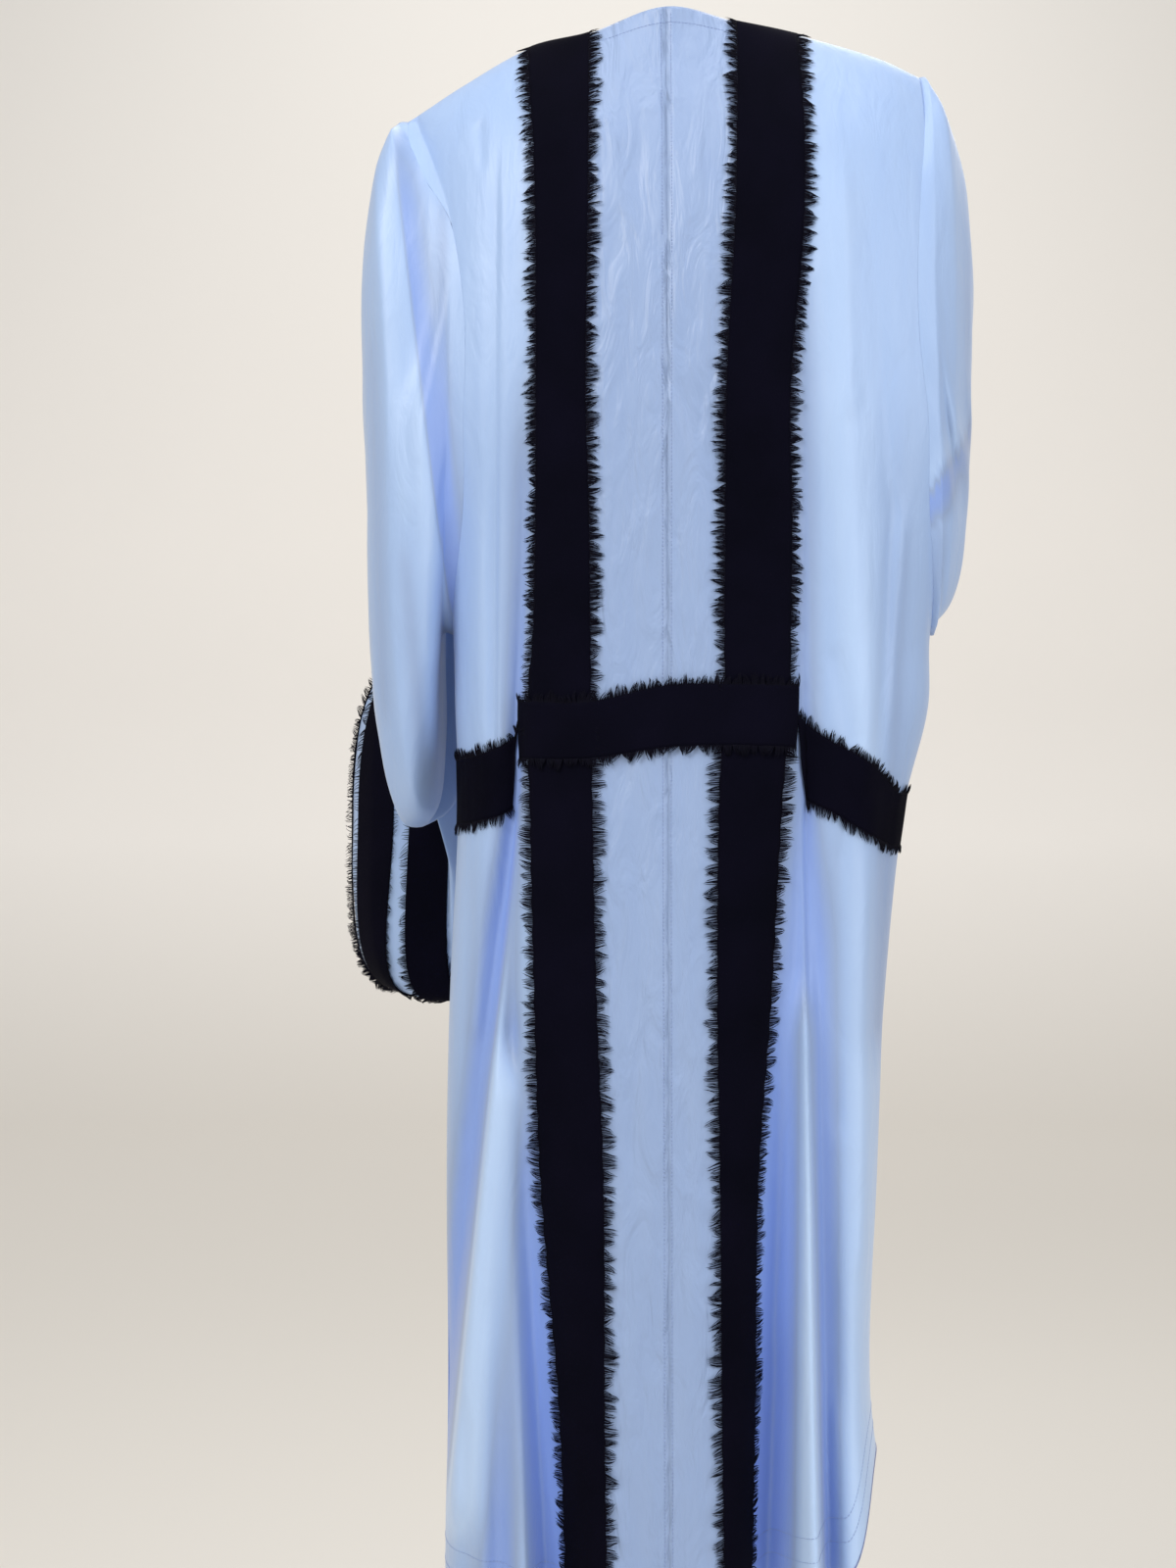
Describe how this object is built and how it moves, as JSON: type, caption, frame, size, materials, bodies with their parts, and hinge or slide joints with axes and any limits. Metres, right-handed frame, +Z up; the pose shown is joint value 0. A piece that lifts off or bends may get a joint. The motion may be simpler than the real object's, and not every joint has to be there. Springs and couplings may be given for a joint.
{
  "type": "abaya",
  "caption": "Long open satin robe in its worn form, with wide sleeves, black fringed bands down the back, a fringed belt at the hips and banded sleeve ends.",
  "frame": {"origin": "between the shoulders, inside the neck opening, level with the neck ends of the shoulder seams", "axes": "+Z up along the garment, the back of the garment faces -Y and its right sleeve is towards +X"},
  "size_m": [0.6146, 0.4758, 1.487],
  "materials": {
    "satin": "soft satin sheen",
    "bands": "matt crepe",
    "fringe": "matt frayed thread"
  },
  "bodies": {
    "root": {"back_left": "satin", "back_right": "satin", "band_left": "bands", "band_right": "bands", "band_sleeve_left_edge": "bands", "band_sleeve_left_middle": "bands", "band_sleeve_left_upper": "bands", "band_sleeve_right_edge": "bands", "band_sleeve_right_middle": "bands", "band_sleeve_right_upper": "bands", "belt_centre": "bands", "belt_left": "bands", "belt_right": "bands", "fringe_band_left_inner": "fringe", "fringe_band_left_outer": "fringe", "fringe_band_right_inner": "fringe", "fringe_band_right_outer": "fringe", "fringe_belt_centre_bottom": "fringe", "fringe_belt_centre_top": "fringe", "fringe_belt_left_bottom": "fringe", "fringe_belt_left_top": "fringe", "fringe_belt_right_bottom": "fringe", "fringe_belt_right_top": "fringe", "fringe_sleeve_left_edge": "fringe", "fringe_sleeve_left_middle": "fringe", "fringe_sleeve_left_upper": "fringe", "fringe_sleeve_right_edge": "fringe", "fringe_sleeve_right_middle": "fringe", "fringe_sleeve_right_upper": "fringe", "front_left": "satin", "front_right": "satin", "sleeve_left": "satin", "sleeve_right": "satin"}
  },
  "joints": []
}
